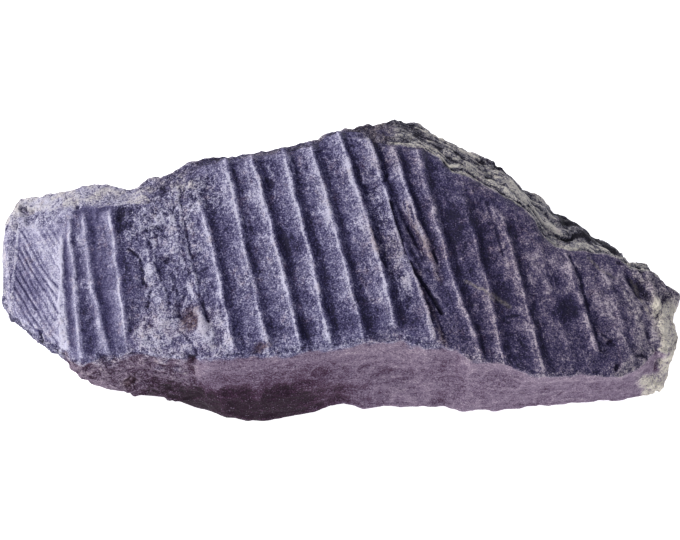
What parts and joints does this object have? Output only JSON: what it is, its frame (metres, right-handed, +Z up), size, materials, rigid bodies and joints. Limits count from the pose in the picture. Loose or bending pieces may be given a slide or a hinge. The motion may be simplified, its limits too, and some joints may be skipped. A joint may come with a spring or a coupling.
{
  "type": "fossil tree bark slab",
  "caption": "Broken slab of dark shale that carries the ribbed bark face of a fossil stem, lying on its back with the ribs up.",
  "frame": {"origin": "bottom centre of the slab's box, on the surface that it rests on", "axes": "+X along the slab's length and across the ribs, from the striated left end to the rough right end. +Y across the slab and along the ribs, away from the smooth broken front. +Z up through the thickness, from the flat underside to the ribbed face."},
  "size_m": [0.1452, 0.0622, 0.0266],
  "materials": {
    "dark_shale": "fine matt grain with a faint sheen on the rib crests"
  },
  "bodies": {
    "root": {"bark_slab": "dark_shale"}
  },
  "joints": []
}
